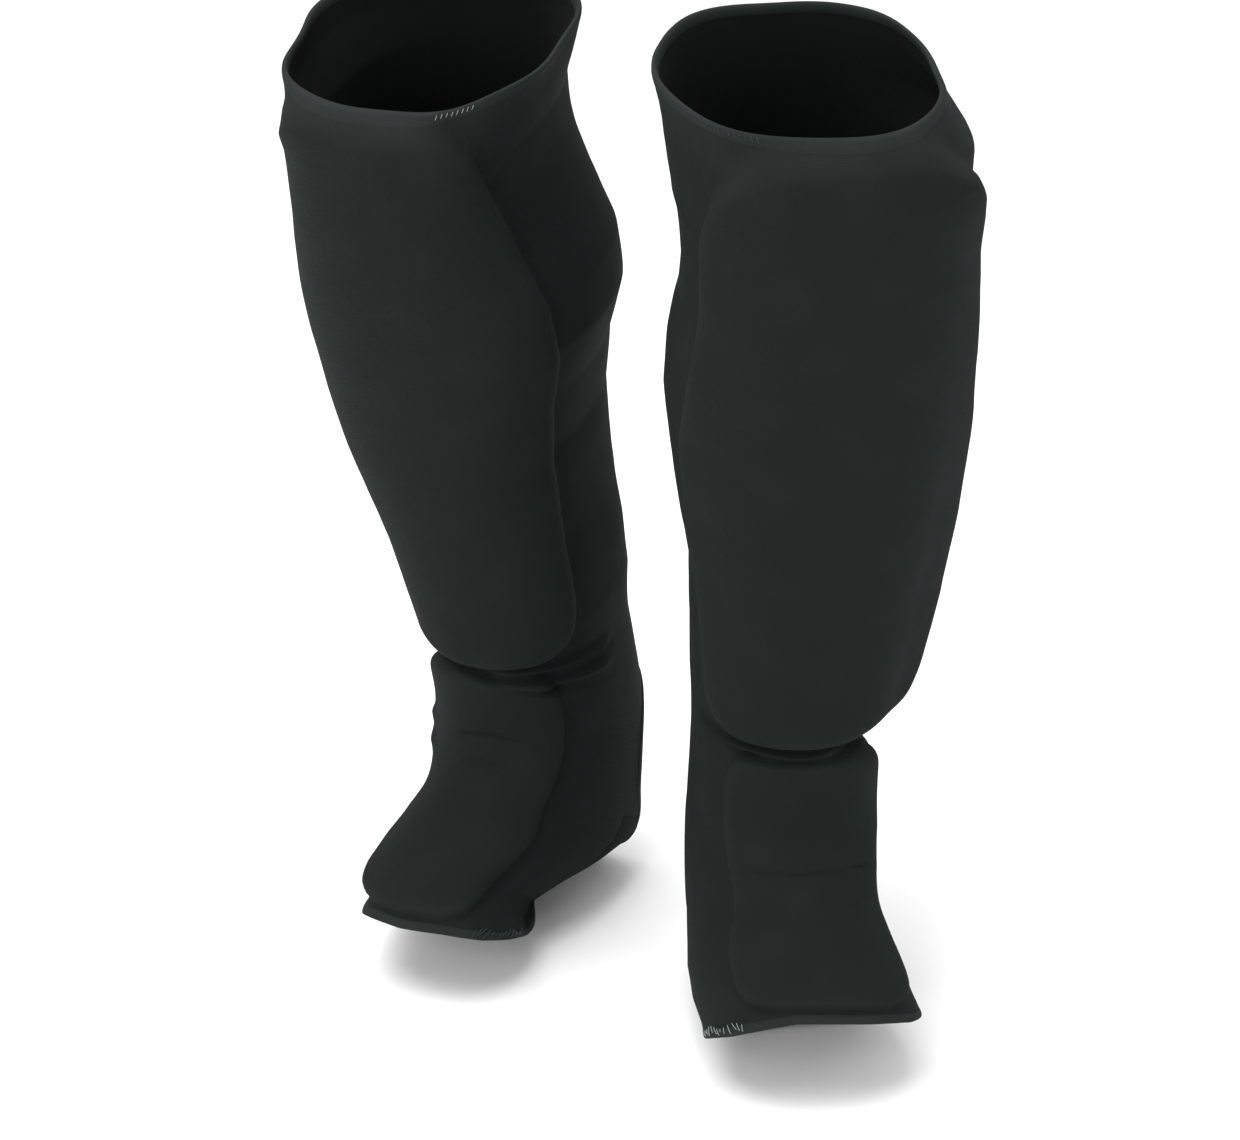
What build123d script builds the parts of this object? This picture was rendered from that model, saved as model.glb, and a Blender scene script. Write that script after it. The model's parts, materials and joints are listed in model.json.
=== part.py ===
from build123d import *
import os
from math import cos, hypot, pi, radians, sin, sqrt, tan

# A pair of cloth shin and instep guards, standing in their worn shape with no leg in them.
# Each guard is an elastic sleeve open at the top, the toes and the heel, with a foam shin pad
# and a foam instep pad sewn to its front under fabric covers. It bends at the ankle.
# Millimetres, +Z up, toes towards -Y, origin on the floor in the middle of the pair.

# ---- The sleeve's inner surface, at stations from the rim down the shin and along the foot ----
# front y, front z, back y, back z, half width, shift towards the outer side of the leg
STATIONS = [
    (-58, 458, 62, 464, 63.0, -7),
    (-58, 432, 64, 436, 60.0, -4),
    (-57, 400, 67, 402, 57.5, -1),
    (-56, 370, 71, 371, 59.0, 0),
    (-54, 335, 73, 335, 59.5, 0),
    (-52, 300, 70, 300, 57.5, 0),
    (-50, 265, 64, 265, 54.0, 0),
    (-47, 225, 58, 225, 48.5, 0),
    (-45, 188, 52, 188, 44.0, 0),
    (-44, 155, 50, 150, 40.0, 0),
    (-46, 128, 51, 113, 38.0, 0),
    (-50, 106, 52, 80, 38.0, 0),
    (-57, 90, 55, 46, 38.0, 0),
    (-67, 78, 50, 14, 38.0, 0),
    (-80, 69, 14, 4, 40.0, 0),
    (-97, 60, -14, 3, 43.0, 1),
    (-115, 51, -40, 3, 46.0, 2),
    (-133, 42, -64, 3, 48.0, 3),
]

# ---- How each guard stands: side is +1 for the left leg, whose outer side is +X ----
GUARDS = {
    "left": dict(side=1, x=71.9, y=-7.6, yaw=5.5, lean=7.0, tilt=1.5, twist=0.0),
    "right": dict(side=-1, x=-35.1, y=89.4, yaw=-26.0, lean=13.0, tilt=-2.5, twist=0.0),
}
ANKLE_HEIGHT = 80.0      # height of the ankle's hinge line above the floor
LEAN_FULL_ABOVE = 303.0  # the leg leans as one above this distance from the rim
LEAN_NONE_BELOW = 402.0  # the foot stays flat below this distance from the rim

# ---- Layers, as offsets outwards from the inner surface ----
KNIT = 1.2               # thickness of the sleeve's knitted fabric
EASE = 0.4               # clearance between layers that are sewn together at their edges
COVER = 1.0              # thickness of the fabric over the pads
SHIN_FOAM = 9.0
INSTEP_FOAM = 7.0
HEM = 1.0                # thickness of the folded hems, the bindings and the seam tapes
SOLE_BUILD = 8.0         # depth of the sole band before its underside is cut flat

# ---- Places along the guard, as distances down the front line from just below the rim ----
RIM = -6.0
HEM_DEPTH = 7.6
SLEEVE_START = 0.0
SHIN_PAD = (4.0, 297.0)
INSTEP_PAD = (305.0, 446.0)
TOE_EDGE = 456.0
TOE_HEM_DEPTH = 8.6
SIDE_PANEL_START = 385.0
GUSSET_SPAN = (335.0, 412.0)

# ---- Pad outlines, as half widths measured round the leg at the top, the middle and the bottom ----
SHIN_PAD_WIDTHS = (70.0, 76.0, 50.0)
SHIN_PAD_CORNERS = (28.0, 36.0)
INSTEP_PAD_WIDTHS = (43.0, 43.0, 45.0)
INSTEP_PAD_CORNERS = (16.0, 18.0)
PAD_MIDDLE = 6.0         # how far out from the sleeve the half widths are measured
PAD_TURN = 8.0           # the pads sit turned this many degrees towards the outer side

# ---- Seams, as angles round the leg from the front, positive towards the outer side ----
BACK_SEAM = 148.0        # the two seams beside the calf panel
FOOT_SEAM = 92.2         # between the top of the foot and its sides
SEAM_HALF_GAP = 0.3
SEAM_TAPE_HALF = 2.2
SOLE_SEAM = 141.0
GUSSET_REACH = 150.0

# ---- Ankle joint zones, as slopes in degrees seen from the side ----
LEG_FRONT_SLOPE = 31.0
FOOT_FRONT_SLOPE = 14.5
LEG_BACK_SLOPE = 30.0
FOOT_BACK_SLOPE = -15.0
ZONE_CLEARANCE = 1.2     # each body stays this far above or below the hinge line
GUSSET_CLEARANCE = 1.0
REACH = 400.0            # longer than any part of a guard
SECTION_STEP = 6.0       # between a hem's sections
CUT_MARGIN = 4.0         # how far a hem's inner cut runs past its ends

# ---- Heel opening, its front edge seen from the side ----
HEEL_EDGE = [(70, 128), (51, 114), (30, 101), (15, 82), (9, 60), (8, 38), (9, 18), (12, -12)]
BINDING_WIDTH = 6.0
BINDING_LEG_END = 400.0  # the binding on the leg is cut from a layer that ends at this distance
BINDING_FOOT_SPAN = (345.0, 425.0)
BINDING_FRONT = 78.2     # the binding runs from this angle towards the back

# ---- Stitches ----
RIM_STITCHES = 26
RIM_STITCH_FIRST = -46.0
RIM_STITCH_STEP = 2.6
TOE_STITCHES = 14
TOE_STITCH_FIRST = -78.0
TOE_STITCH_STEP = 3.2
STITCH = (0.7, 6.0, 0.6)
STITCH_TURN = 24.0


def front_lengths():
    """Distance of each station from the first, measured down the front line."""
    lengths = [0.0]
    for first, second in zip(STATIONS, STATIONS[1:]):
        lengths.append(lengths[-1] + hypot(second[0] - first[0], second[1] - first[1]))
    return lengths


LENGTHS = front_lengths()


def row_at(s):
    """The station values at a distance from the rim, on a smooth curve through the table."""
    k = max(i for i in range(len(LENGTHS) - 1) if LENGTHS[i] <= max(s, 0.0))
    before = max(k - 1, 0)
    after = min(k + 2, len(STATIONS) - 1)
    span = LENGTHS[k + 1] - LENGTHS[k]
    t = (s - LENGTHS[k]) / span
    row = []
    for column in range(6):
        v0, v1 = STATIONS[k][column], STATIONS[k + 1][column]
        slope0 = (v1 - STATIONS[before][column]) / (LENGTHS[k + 1] - LENGTHS[before]) * span
        slope1 = (STATIONS[after][column] - v0) / (LENGTHS[after] - LENGTHS[k]) * span
        value = v0 + t * slope0 + t * t * (3 * (v1 - v0) - 2 * slope0 - slope1)
        row.append(value + t**3 * (2 * (v0 - v1) + slope0 + slope1))
    return row


def lean_share(s):
    """How much of the guard's lean a station takes: all of it on the shin, none on the foot."""
    t = (s - LEAN_FULL_ABOVE) / (LEAN_NONE_BELOW - LEAN_FULL_ABOVE)
    t = min(max(t, 0.0), 1.0)
    return 1 - t * t * (3 - 2 * t)


def turned(vector, guard, share):
    """A direction after the guard's lean, tilt, twist and yaw."""
    vector = vector.rotate(Axis.X, guard["lean"] * share)
    vector = vector.rotate(Axis.Y, guard["tilt"] * share)
    return vector.rotate(Axis.Z, guard["twist"] * share + guard["yaw"])


def section_plane(guard, s):
    """The plane of one cross-section: x towards the outer side, y from front to back."""
    row = row_at(s)
    share = lean_share(s)
    middle = Vector(guard["side"] * row[5], (row[0] + row[2]) / 2, (row[1] + row[3]) / 2 - ANKLE_HEIGHT)
    across = turned(Vector(guard["side"], 0, 0), guard, share)
    back = turned(Vector(0, row[2] - row[0], row[3] - row[1]), guard, share)
    foot = Vector(guard["x"], guard["y"], ANKLE_HEIGHT)
    return Plane(origin=turned(middle, guard, share) + foot, x_dir=across, z_dir=across.cross(back))


def half_axes(s):
    """The cross-section's half width and half depth."""
    row = row_at(s)
    return row[4], hypot(row[2] - row[0], row[3] - row[1]) / 2


def side_plane(guard):
    """The foot's side view through the ankle: x towards the back, y up."""
    across = turned(Vector(1, 0, 0), guard, 0.0)
    return Plane(origin=(guard["x"], guard["y"], 0), x_dir=turned(Vector(0, 1, 0), guard, 0.0), z_dir=across)


def arc_face(guard, s, low, high, inner, outer):
    """One cross-section of a layer, between two angles round the leg and two offsets."""
    width, depth = half_axes(s)
    with BuildSketch(section_plane(guard, s)) as face:
        with BuildLine():
            near = EllipticalCenterArc(
                (0, 0), width + inner, depth + inner, start_angle=low - 90, arc_size=high - low
            )
            far = EllipticalCenterArc(
                (0, 0), width + outer, depth + outer, start_angle=low - 90, arc_size=high - low
            )
            Line(near @ 0, far @ 0)
            Line(near @ 1, far @ 1)
        make_face()
    return face.sketch


def oval_face(guard, s, outer):
    """A whole oval cross-section at an offset."""
    width, depth = half_axes(s)
    with BuildSketch(section_plane(guard, s)) as face:
        Ellipse(width + outer, depth + outer)
    return face.sketch


def stops(first, last, step=13.0):
    """Evenly spaced distances from first to last."""
    count = max(int(round((last - first) / step)), 1)
    return [first + (last - first) * i / count for i in range(count + 1)]


def layer(guard, first, last, low, high, inner, outer):
    """The cross-sections of a layer between two fixed angles."""
    return [arc_face(guard, s, low, high, inner, outer) for s in stops(first, last)]


def pad_stops(first, last, corners):
    """Distances along a pad, closer together round its corners."""
    top = [first + corners[0] * (1 - cos(radians(a))) for a in (0, 22, 42, 64, 90)]
    bottom = [last - corners[1] * (1 - cos(radians(a))) for a in (90, 64, 42, 22, 0)]
    between = stops(top[-1], bottom[0])
    return top + between[1:-1] + bottom


def pad_half_width(s, first, last, widths, corners):
    """Half width of a pad's rounded outline at a distance from the rim."""
    t = (s - first) / (last - first)
    width = widths[0] * (1 - t) * (1 - 2 * t) + widths[1] * 4 * t * (1 - t) + widths[2] * t * (2 * t - 1)
    top = max(corners[0] - (s - first), 0.0)
    bottom = max(corners[1] - (last - s), 0.0)
    corner = corners[0] if top else corners[1]
    depth = max(top, bottom)
    return width - corner + sqrt(max(corner**2 - depth**2, 0.0))


def pad_angle(s, pad, margin):
    """Half angle round the leg of a pad's outline, grown by a margin."""
    width, depth = half_axes(s)
    first, last = pad["span"][0] - margin, pad["span"][1] + margin
    corners = (pad["corners"][0] + margin, pad["corners"][1] + margin)
    widths = [width + margin for width in pad["widths"]]
    half = pad_half_width(s, first, last, widths, corners)
    return half / ((width + depth) / 2 + PAD_MIDDLE) * 180 / pi


def pad_face(guard, s, pad, margin, inner, outer):
    """One cross-section of a pad, or of the solid end of its cover."""
    angle = pad_angle(s, pad, margin)
    return arc_face(guard, s, PAD_TURN - angle, PAD_TURN + angle, inner, outer)


def cover_face(guard, s, pad, inner, under, outer):
    """One cross-section of a cover: a channel with the foam's space under it."""
    width, depth = half_axes(s)
    space, edge = pad_angle(s, pad, EASE), pad_angle(s, pad, EASE + COVER)
    with BuildSketch(section_plane(guard, s)) as face:
        with BuildLine():
            low, high = PAD_TURN - 90 - space, PAD_TURN - 90 + space
            roof = EllipticalCenterArc((0, 0), width + under, depth + under, low, arc_size=high - low)
            low_rim, high_rim = PAD_TURN - 90 - edge, PAD_TURN - 90 + edge
            top = EllipticalCenterArc((0, 0), width + outer, depth + outer, low_rim, arc_size=2 * edge)
            feet = [width + inner, depth + inner]
            low_foot = EllipticalCenterArc((0, 0), *feet, low_rim, arc_size=low - low_rim)
            high_foot = EllipticalCenterArc((0, 0), *feet, high, arc_size=high_rim - high)
            Line(top @ 0, low_foot @ 0)
            Line(low_foot @ 1, roof @ 0)
            Line(roof @ 1, high_foot @ 0)
            Line(high_foot @ 1, top @ 1)
        make_face()
    return face.sketch


SHIN = dict(span=SHIN_PAD, widths=SHIN_PAD_WIDTHS, corners=SHIN_PAD_CORNERS, foam=SHIN_FOAM)
INSTEP = dict(span=INSTEP_PAD, widths=INSTEP_PAD_WIDTHS, corners=INSTEP_PAD_CORNERS, foam=INSTEP_FOAM)


def ray(slope, forward, height):
    """A far point on a sloping line from the hinge line, seen from the side."""
    y = -REACH * cos(radians(slope)) if forward else REACH * cos(radians(slope))
    return (y, ANKLE_HEIGHT + height + REACH * sin(radians(slope)))


def zone_outline(zone):
    """The side view of the space that belongs to the leg, the foot or the gusset between them."""
    if zone == "leg":
        top = ANKLE_HEIGHT + 2 * REACH
        return [
            (0, ANKLE_HEIGHT + ZONE_CLEARANCE),
            ray(LEG_FRONT_SLOPE, True, ZONE_CLEARANCE),
            (-REACH, top),
            (REACH, top),
            ray(LEG_BACK_SLOPE, False, ZONE_CLEARANCE),
        ]
    if zone == "foot":
        hinge = ANKLE_HEIGHT - ZONE_CLEARANCE
        return [
            (0, hinge),
            ray(FOOT_FRONT_SLOPE, True, -ZONE_CLEARANCE),
            (-REACH, 0),
            (hinge / tan(radians(-FOOT_BACK_SLOPE)), 0),
        ]
    return [
        (0, ANKLE_HEIGHT + GUSSET_CLEARANCE),
        ray(LEG_FRONT_SLOPE, True, GUSSET_CLEARANCE),
        ray(FOOT_FRONT_SLOPE, True, -GUSSET_CLEARANCE),
        (0, ANKLE_HEIGHT - GUSSET_CLEARANCE),
        ray(FOOT_BACK_SLOPE, False, -GUSSET_CLEARANCE),
        ray(LEG_BACK_SLOPE, False, GUSSET_CLEARANCE),
    ]


def zone(guard, name):
    """The space of one zone as a prism right across the guard."""
    with BuildPart() as prism:
        with BuildSketch(side_plane(guard)):
            with BuildLine():
                Polyline(*zone_outline(name), close=True)
            make_face()
        extrude(amount=REACH / 2, both=True)
    return prism.part


def heel_space(guard, margin=0.0):
    """The space behind the heel opening's front edge, moved forwards by a margin."""
    edge = [(y - margin, z + (margin if z > 90 else 0.0)) for y, z in HEEL_EDGE]
    with BuildPart() as prism:
        with BuildSketch(side_plane(guard)):
            with BuildLine():
                Spline(*edge)
                Polyline(edge[-1], (REACH / 2, edge[-1][1]), (REACH / 2, edge[0][1]), edge[0])
            make_face()
        extrude(amount=REACH / 2, both=True)
    return prism.part


def finished(piece, leg, name):
    """Label a piece for its leg and write its file."""
    piece.label = f"{leg}_{name}"
    export_step(piece, f"parts/{piece.label}.step")


# ---- Shin: lining, foam, cover and calf panel ----

def build_shin_lining(leg, guard):
    with BuildPart() as shin_lining:
        edge = BACK_SEAM - SEAM_HALF_GAP
        loft(sections=layer(guard, SLEEVE_START, SIDE_PANEL_START, -edge, edge, 0.0, KNIT))
        add(zone(guard, "leg"), mode=Mode.INTERSECT)
        add(heel_space(guard), mode=Mode.SUBTRACT)
    finished(shin_lining.part, leg, "shin_lining")


def build_calf_panel(leg, guard):
    with BuildPart() as calf_panel:
        low, high = BACK_SEAM + SEAM_HALF_GAP, 360 - BACK_SEAM - SEAM_HALF_GAP
        loft(sections=layer(guard, SLEEVE_START, SIDE_PANEL_START, low, high, 0.0, KNIT))
        add(zone(guard, "leg"), mode=Mode.INTERSECT)
        add(heel_space(guard), mode=Mode.SUBTRACT)
    finished(calf_panel.part, leg, "calf_panel")


def build_shin_pad(leg, guard):
    with BuildPart() as shin_pad:
        loft(sections=foam_faces(guard, SHIN))
    finished(shin_pad.part, leg, "shin_pad")


def foam_faces(guard, pad):
    """The cross-sections of a pad's foam."""
    places = pad_stops(*pad["span"], pad["corners"])
    return [pad_face(guard, s, pad, 0.0, KNIT + EASE, KNIT + EASE + pad["foam"]) for s in places]


def cover_shell(guard, pad):
    """A fabric tray over a pad, open towards the leg."""
    inner = KNIT + EASE
    under = inner + pad["foam"] + EASE
    outer = under + COVER
    first, last = pad["span"][0] - EASE, pad["span"][1] + EASE
    places = pad_stops(first, last, (pad["corners"][0] + EASE, pad["corners"][1] + EASE))
    with BuildPart() as shell:
        loft(sections=[cover_face(guard, s, pad, inner, under, outer) for s in places])
        for end, step in ((first, -COVER), (last, COVER)):
            wall = [end + step * share for share in (0.0, 0.5, 0.85, 1.0)]
            loft(sections=[pad_face(guard, s, pad, EASE + COVER, inner, outer) for s in wall])
    return shell.part


def build_shin_cover(leg, guard):
    with BuildPart() as shin_cover:
        add(cover_shell(guard, SHIN))
    finished(shin_cover.part, leg, "shin_cover")


# ---- Instep: a lining on the foot, and a pad scored across so that it bends at the ankle ----

def build_instep_lining(leg, guard):
    with BuildPart() as instep_lining:
        edge = FOOT_SEAM - SEAM_HALF_GAP
        end = TOE_EDGE - TOE_HEM_DEPTH
        loft(sections=layer(guard, INSTEP_PAD[0], end, -edge, edge, 0.0, KNIT))
        add(zone(guard, "foot"), mode=Mode.INTERSECT)
        add(heel_space(guard), mode=Mode.SUBTRACT)
    finished(instep_lining.part, leg, "instep_lining")


def build_instep_pad(leg, guard):
    faces = foam_faces(guard, INSTEP)
    for name, where in (("instep_pad_upper", "leg"), ("instep_pad_web", "gusset"), ("instep_pad_lower", "foot")):
        with BuildPart() as piece:
            loft(sections=faces)
            add(zone(guard, where), mode=Mode.INTERSECT)
        finished(piece.part, leg, name)


def build_instep_cover(leg, guard):
    shell = cover_shell(guard, INSTEP)
    for name, where in (("instep_cover_upper", "leg"), ("instep_cover_lower", "foot")):
        with BuildPart() as piece:
            add(shell)
            add(zone(guard, where), mode=Mode.INTERSECT)
        finished(piece.part, leg, name)


# ---- Ankle and foot fabric ----

def build_ankle_gusset(leg, guard):
    with BuildPart() as ankle_gusset:
        low, high = -GUSSET_REACH, GUSSET_REACH
        loft(sections=layer(guard, GUSSET_SPAN[0], GUSSET_SPAN[1], low, high, 0.0, KNIT))
        add(zone(guard, "gusset"), mode=Mode.INTERSECT)
        add(heel_space(guard), mode=Mode.SUBTRACT)
    finished(ankle_gusset.part, leg, "ankle_gusset")


def build_side_panels(leg, guard):
    low, high = FOOT_SEAM + SEAM_HALF_GAP, SOLE_SEAM - SEAM_HALF_GAP
    for name, first, last in (("outer_side_panel", low, high), ("inner_side_panel", 360 - high, 360 - low)):
        with BuildPart() as piece:
            end = TOE_EDGE - TOE_HEM_DEPTH
            loft(sections=layer(guard, INSTEP_PAD[0], end, first, last, 0.0, KNIT))
            add(zone(guard, "foot"), mode=Mode.INTERSECT)
            add(heel_space(guard), mode=Mode.SUBTRACT)
        finished(piece.part, leg, name)


def build_sole_band(leg, guard):
    with BuildPart() as sole_band:
        low, high = SOLE_SEAM + SEAM_HALF_GAP, 360 - SOLE_SEAM - SEAM_HALF_GAP
        end = TOE_EDGE - TOE_HEM_DEPTH
        loft(sections=layer(guard, SIDE_PANEL_START, end, low, high, 0.0, SOLE_BUILD))
        add(zone(guard, "foot"), mode=Mode.INTERSECT)
        add(heel_space(guard), mode=Mode.SUBTRACT)
    finished(sole_band.part, leg, "sole_band")


# ---- Hems with their elastics, seam tapes and the binding of the heel opening ----

def ring(guard, first, last, inner, outer):
    """A closed band round the guard."""
    with BuildPart() as band:
        loft(sections=[oval_face(guard, s, outer) for s in stops(first, last, SECTION_STEP)])
        cut_stops = stops(first - CUT_MARGIN, last + CUT_MARGIN, SECTION_STEP)
        cut = [oval_face(guard, s, inner) for s in cut_stops]
        loft(sections=cut, mode=Mode.SUBTRACT)
    return band.part


def build_top_hem(leg, guard):
    with BuildPart() as top_elastic:
        add(ring(guard, RIM + 1.0, SLEEVE_START - 1.0, 0.0, HEM))
    finished(top_elastic.part, leg, "top_elastic")
    with BuildPart() as top_band:
        add(ring(guard, RIM, RIM + HEM_DEPTH - EASE, KNIT + EASE, KNIT + EASE + HEM))
    finished(top_band.part, leg, "top_band")


def build_toe_hem(leg, guard):
    with BuildPart() as toe_elastic:
        add(ring(guard, TOE_EDGE - TOE_HEM_DEPTH + 1.0, TOE_EDGE - 1.0, 0.0, HEM))
    finished(toe_elastic.part, leg, "toe_elastic")
    with BuildPart() as toe_band:
        add(ring(guard, TOE_EDGE - TOE_HEM_DEPTH + 1.0, TOE_EDGE, KNIT + EASE / 2, KNIT + EASE / 2 + HEM))
    finished(toe_band.part, leg, "toe_band")


def build_seams(leg, guard):
    for name, angle in (("outer_seam", BACK_SEAM), ("inner_seam", -BACK_SEAM)):
        low, high = angle - SEAM_TAPE_HALF, angle + SEAM_TAPE_HALF
        inner, outer = KNIT + EASE, KNIT + EASE + HEM
        with BuildPart() as seam:
            loft(sections=layer(guard, RIM + HEM_DEPTH, SIDE_PANEL_START, low, high, inner, outer))
            add(zone(guard, "leg"), mode=Mode.INTERSECT)
            add(heel_space(guard, BINDING_WIDTH + EASE), mode=Mode.SUBTRACT)
        finished(seam.part, leg, name)


def build_heel_binding(leg, guard):
    inner = KNIT + 2 * EASE
    outer = inner + HEM
    low, high = BINDING_FRONT, SOLE_SEAM - 4 * SEAM_HALF_GAP
    with BuildPart() as heel_binding_upper:
        loft(sections=layer(guard, INSTEP_PAD[0], BINDING_LEG_END, low, 360 - low, inner, outer))
        add(zone(guard, "leg"), mode=Mode.INTERSECT)
        add(heel_space(guard, BINDING_WIDTH), mode=Mode.INTERSECT)
        add(heel_space(guard), mode=Mode.SUBTRACT)
    finished(heel_binding_upper.part, leg, "heel_binding_upper")
    with BuildPart() as heel_binding_lower:
        loft(sections=layer(guard, *BINDING_FOOT_SPAN, low, high, inner, outer))
        loft(sections=layer(guard, *BINDING_FOOT_SPAN, 360 - high, 360 - low, inner, outer))
        add(zone(guard, "foot"), mode=Mode.INTERSECT)
        add(heel_space(guard, BINDING_WIDTH), mode=Mode.INTERSECT)
        add(heel_space(guard), mode=Mode.SUBTRACT)
    finished(heel_binding_lower.part, leg, "heel_binding_lower")


def surface_point(guard, s, angle, offset):
    """A point at an angle round the leg and an offset out from the sleeve's inner surface."""
    width, depth = half_axes(s)
    x, y = (width + offset) * sin(radians(angle)), -(depth + offset) * cos(radians(angle))
    return section_plane(guard, s).from_local_coords(Vector(x, y, 0))


def build_stitches(leg, guard):
    """Short slanted stitches along the front of the top hem and of the toe hem."""
    rows = (
        ("rim_stitches", RIM_STITCHES, RIM_STITCH_FIRST, RIM_STITCH_STEP, RIM + HEM_DEPTH / 2),
        ("toe_stitches", TOE_STITCHES, TOE_STITCH_FIRST, TOE_STITCH_STEP, TOE_EDGE - TOE_HEM_DEPTH / 2),
    )
    offset = KNIT + EASE + HEM + EASE + STITCH[2] / 2
    for name, count, first, step, s in rows:
        with BuildPart() as stitches:
            for i in range(count):
                angle = first + i * step
                along = surface_point(guard, s, angle + 1, offset) - surface_point(guard, s, angle - 1, offset)
                down = surface_point(guard, s + 1, angle, offset) - surface_point(guard, s - 1, angle, offset)
                spot = Plane(
                    origin=surface_point(guard, s, angle, offset), x_dir=along, z_dir=along.cross(down)
                )
                turn = STITCH_TURN if i % 2 else -STITCH_TURN
                with Locations(spot):
                    Box(*STITCH, rotation=(0, 0, turn))
        finished(stitches.part, leg, name)


os.makedirs("parts", exist_ok=True)
BUILDERS = [
    build_shin_lining,
    build_calf_panel,
    build_shin_pad,
    build_shin_cover,
    build_instep_lining,
    build_instep_pad,
    build_instep_cover,
    build_ankle_gusset,
    build_side_panels,
    build_sole_band,
    build_top_hem,
    build_toe_hem,
    build_seams,
    build_heel_binding,
    build_stitches,
]
for leg, guard in GUARDS.items():
    for build in BUILDERS:
        build(leg, guard)
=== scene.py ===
import json
import math

import bmesh
import bpy
import numpy as np
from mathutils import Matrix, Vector

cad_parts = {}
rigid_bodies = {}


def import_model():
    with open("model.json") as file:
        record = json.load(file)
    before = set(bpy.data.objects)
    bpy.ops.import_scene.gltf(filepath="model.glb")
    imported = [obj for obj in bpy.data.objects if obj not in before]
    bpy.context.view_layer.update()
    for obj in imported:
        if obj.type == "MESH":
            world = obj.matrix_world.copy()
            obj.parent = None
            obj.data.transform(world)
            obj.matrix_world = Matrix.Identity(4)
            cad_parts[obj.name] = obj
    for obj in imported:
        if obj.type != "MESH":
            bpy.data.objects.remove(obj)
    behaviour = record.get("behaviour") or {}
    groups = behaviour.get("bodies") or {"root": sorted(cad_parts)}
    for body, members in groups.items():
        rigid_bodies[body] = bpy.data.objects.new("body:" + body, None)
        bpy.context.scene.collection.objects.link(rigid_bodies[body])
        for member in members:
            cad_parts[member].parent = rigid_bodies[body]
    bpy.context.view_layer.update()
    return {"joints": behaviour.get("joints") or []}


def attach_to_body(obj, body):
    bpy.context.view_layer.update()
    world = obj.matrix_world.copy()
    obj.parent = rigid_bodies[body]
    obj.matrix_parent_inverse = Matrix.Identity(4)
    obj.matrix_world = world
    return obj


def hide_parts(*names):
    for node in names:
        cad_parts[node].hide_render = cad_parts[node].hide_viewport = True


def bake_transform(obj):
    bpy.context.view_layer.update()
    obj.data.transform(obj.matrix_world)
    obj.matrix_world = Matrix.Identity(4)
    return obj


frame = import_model()

# A pair of stretch-jersey shin and instep guards in their worn shape, standing with no leg in them.
# Shapes are worked out in millimetres on each guard's own surface, and make() turns them into metres.
# A place on the surface is s, the distance down the guard's front line, and an angle round it: 0 is the front
# and a positive angle is towards the outer side. Pads, folds and creases are heights off that surface.

# ---- The sleeve's inner surface, as in the CAD: front y, z, back y, z, half width, shift outwards ----
STATIONS = np.array([
    (-58, 458, 62, 464, 63.0, -7),
    (-58, 432, 64, 436, 60.0, -4),
    (-57, 400, 67, 402, 57.5, -1),
    (-56, 370, 71, 371, 59.0, 0),
    (-54, 335, 73, 335, 59.5, 0),
    (-52, 300, 70, 300, 57.5, 0),
    (-50, 265, 64, 265, 54.0, 0),
    (-47, 225, 58, 225, 48.5, 0),
    (-45, 188, 52, 188, 44.0, 0),
    (-44, 155, 50, 150, 40.0, 0),
    (-46, 128, 51, 113, 38.0, 0),
    (-50, 106, 52, 80, 38.0, 0),
    (-57, 90, 55, 46, 38.0, 0),
    (-67, 78, 50, 14, 38.0, 0),
    (-80, 69, 14, 4, 40.0, 0),
    (-97, 60, -14, 3, 43.0, 1),
    (-115, 51, -40, 3, 46.0, 2),
    (-133, 42, -64, 3, 48.0, 3),
], float)
LENGTHS = np.concatenate([[0.0], np.cumsum(np.hypot(*np.diff(STATIONS[:, :2], axis=0).T))])
ROUNDNESS = 2.25            # exponent of the sections, where 2 is an ellipse
LEAN_FULL_ABOVE = 303.0     # the leg leans above this distance, and the foot stands square below the next one
LEAN_NONE_BELOW = 402.0
TOE_CHANGES_FROM = 395.0    # below this, the toe's own shape comes in
PAD_TURN = 8.0              # degrees that the pads sit round towards the outer side
PAD_MIDDLE = 6.0            # how far off the inner surface the pads' outlines are measured

RIM = -6.0                  # distances down the front line
TOE = 456.0
HEM_DEPTH = 5.0
TOE_HEM_DEPTH = 5.4
BACK_SEAM = 148.0           # degrees round from the front
FOOT_SEAM = 92.2
SOLE_SEAM = 141.0
FOOT_PANELS_BELOW = 385.0

LINING = 1.1                # thickness of the cloth
SLEEVE = 2.5                # how far the outer cloth stands off the inner surface away from the pads
CLOTH = 1.1
SHIN_FOAM = 10.2
INSTEP_FOAM = 7.8
SHIN_BEVEL = 8.5            # width of a pad's rounded edge
SHIN_TOP_BEVEL = 4.0        # and how much wider it is at the shin pad's top
INSTEP_BEVEL = 8.0
EDGE_SHARE = 0.18           # share of a pad's height where its edge meets the sleeve
TENT = 3.4                  # how far the cloth takes to come down to the sleeve beside a pad
TOP_CREST_TO = 36.0         # above this, the shin pad slopes up to a crest instead of rounding over
LOWEST = -0.3               # the deepest fold still leaves the outer cloth outside the lining
FOAM_INSET = 2.5
FOAM_GAP = 0.25
FOLD_FADE = 16.0            # length over which a fold that runs across the guard fades in at its inner end
SHORT_FOLD = 25.0           # folds no wider than this don't fade

STANDOFF_FULL_AT = 285.0
NOTCH_AT = 302.0            # the nick at the outer side between the pads, and how much lower it is further back
NOTCH_DROP = 20.0
NOTCH_WIDTH = 8.5

# The heel opening's front edge in side view: behind the ankle, above the floor
HEEL_EDGE = np.array([(12, -12), (9, 18), (8, 38), (9, 60), (15, 82), (30, 101), (51, 114), (70, 128)], float)

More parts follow.
